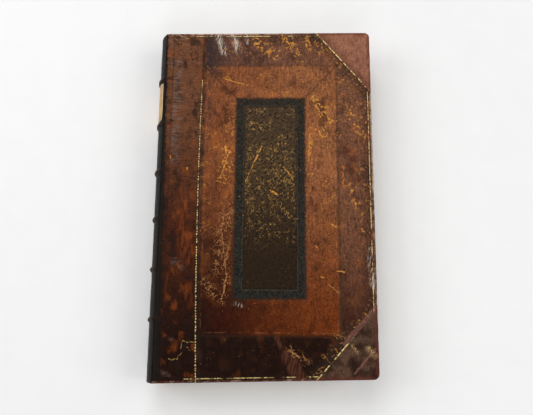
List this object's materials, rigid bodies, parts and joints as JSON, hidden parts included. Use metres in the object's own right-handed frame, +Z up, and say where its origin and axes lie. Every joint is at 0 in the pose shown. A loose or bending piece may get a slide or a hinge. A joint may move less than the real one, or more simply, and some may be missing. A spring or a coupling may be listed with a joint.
{
  "type": "antique leather book",
  "caption": "Large old book in panelled calf with a rounded spine, raised bands and mended corners; both covers open on the joints.",
  "frame": {"origin": "middle of the underside, on the surface that the book lies on", "axes": "+X towards the fore-edge, +Y towards the head, +Z up through the front cover"},
  "size_m": [0.2443, 0.3904, 0.048],
  "materials": {
    "leaves": "matte",
    "endpaper": "matte",
    "pasteboard": "matte",
    "old_calf": "worn satin",
    "spine_calf": "satin",
    "corner_calf": "satin",
    "label_skin": "satin",
    "hemp_cord": "matte",
    "silk": "satin"
  },
  "bodies": {
    "book_block": {"text_block": "leaves", "front_flyleaf": "endpaper", "back_flyleaf": "endpaper", "band_cord_1": "hemp_cord", "band_cord_2": "hemp_cord", "band_cord_3": "hemp_cord", "band_cord_4": "hemp_cord", "band_cord_5": "hemp_cord", "band_cord_6": "hemp_cord", "head_endband": "silk", "tail_endband": "silk", "spine_leather": "spine_calf", "spine_label": "label_skin"},
    "front_cover": {"front_board": "pasteboard", "front_side_leather": "old_calf", "front_joint_leather": "spine_calf", "front_head_corner": "corner_calf", "front_tail_corner": "corner_calf", "front_pastedown": "endpaper"},
    "back_cover": {"back_board": "pasteboard", "back_side_leather": "old_calf", "back_joint_leather": "spine_calf", "back_head_corner": "corner_calf", "back_tail_corner": "corner_calf", "back_pastedown": "endpaper"}
  },
  "joints": [
    {"name": "front_joint", "type": "hinge", "parent": "book_block", "child": "front_cover", "pos_m": [-0.10985, 0, 0.048], "axis": [0, -1, 0], "range_deg": [0, 180]},
    {"name": "back_joint", "type": "hinge", "parent": "book_block", "child": "back_cover", "pos_m": [-0.10985, 0, 0], "axis": [0, 1, 0], "range_deg": [0, 180]}
  ]
}
